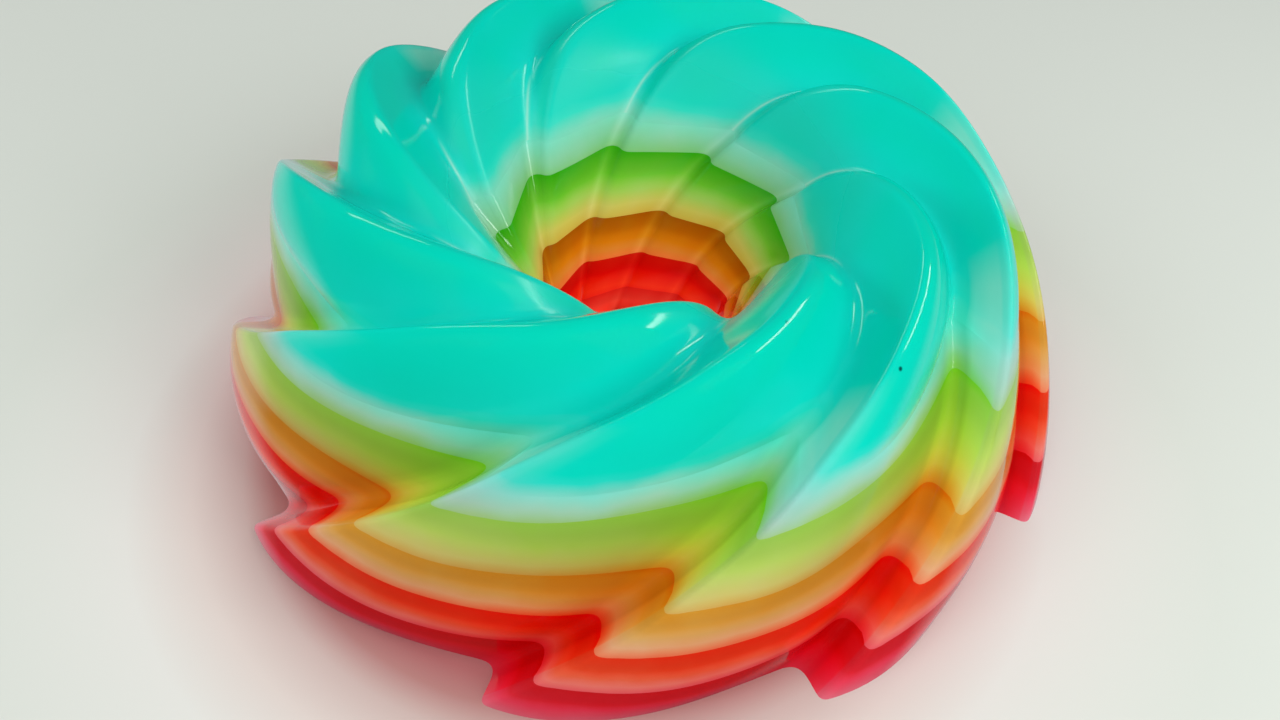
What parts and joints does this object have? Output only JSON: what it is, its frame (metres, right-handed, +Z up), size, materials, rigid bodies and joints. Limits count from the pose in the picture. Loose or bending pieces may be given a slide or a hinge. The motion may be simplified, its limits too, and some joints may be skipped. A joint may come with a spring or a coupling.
{
  "type": "rainbow layered jelly ring",
  "caption": "Ring-shaped moulded jelly dessert with swirled blades and a funnel-shaped centre hole, in flat rainbow layers that are cloudy and clear by turns.",
  "frame": {"origin": "middle of the footprint, on the flat face it stands on; the swirl's own axis stands 1.4 mm from it", "axes": "+Z up out of the plate and along the swirl's axis; -Y towards the viewer"},
  "size_m": [0.1944, 0.1938, 0.0677],
  "materials": {
    "pink_cloudy": "wet gloss, cloudy jelly",
    "crimson_clear": "wet gloss, clear jelly",
    "coral_cloudy": "wet gloss, cloudy jelly",
    "red_clear": "wet gloss, clear jelly",
    "peach_cloudy": "wet gloss, cloudy jelly",
    "orange_clear": "wet gloss, clear jelly",
    "lemon_cloudy": "wet gloss, cloudy jelly",
    "green_clear": "wet gloss, clear jelly",
    "white_cloudy": "wet gloss, cloudy jelly",
    "teal_clear": "wet gloss, clear jelly"
  },
  "bodies": {
    "root": {"layer_01_pink_cloudy": "pink_cloudy", "layer_02_crimson_clear": "crimson_clear", "layer_03_coral_cloudy": "coral_cloudy", "layer_04_red_clear": "red_clear", "layer_05_peach_cloudy": "peach_cloudy", "layer_06_orange_clear": "orange_clear", "layer_07_lemon_cloudy": "lemon_cloudy", "layer_08_green_clear": "green_clear", "layer_09_white_cloudy": "white_cloudy", "layer_10_teal_clear": "teal_clear"}
  },
  "joints": []
}
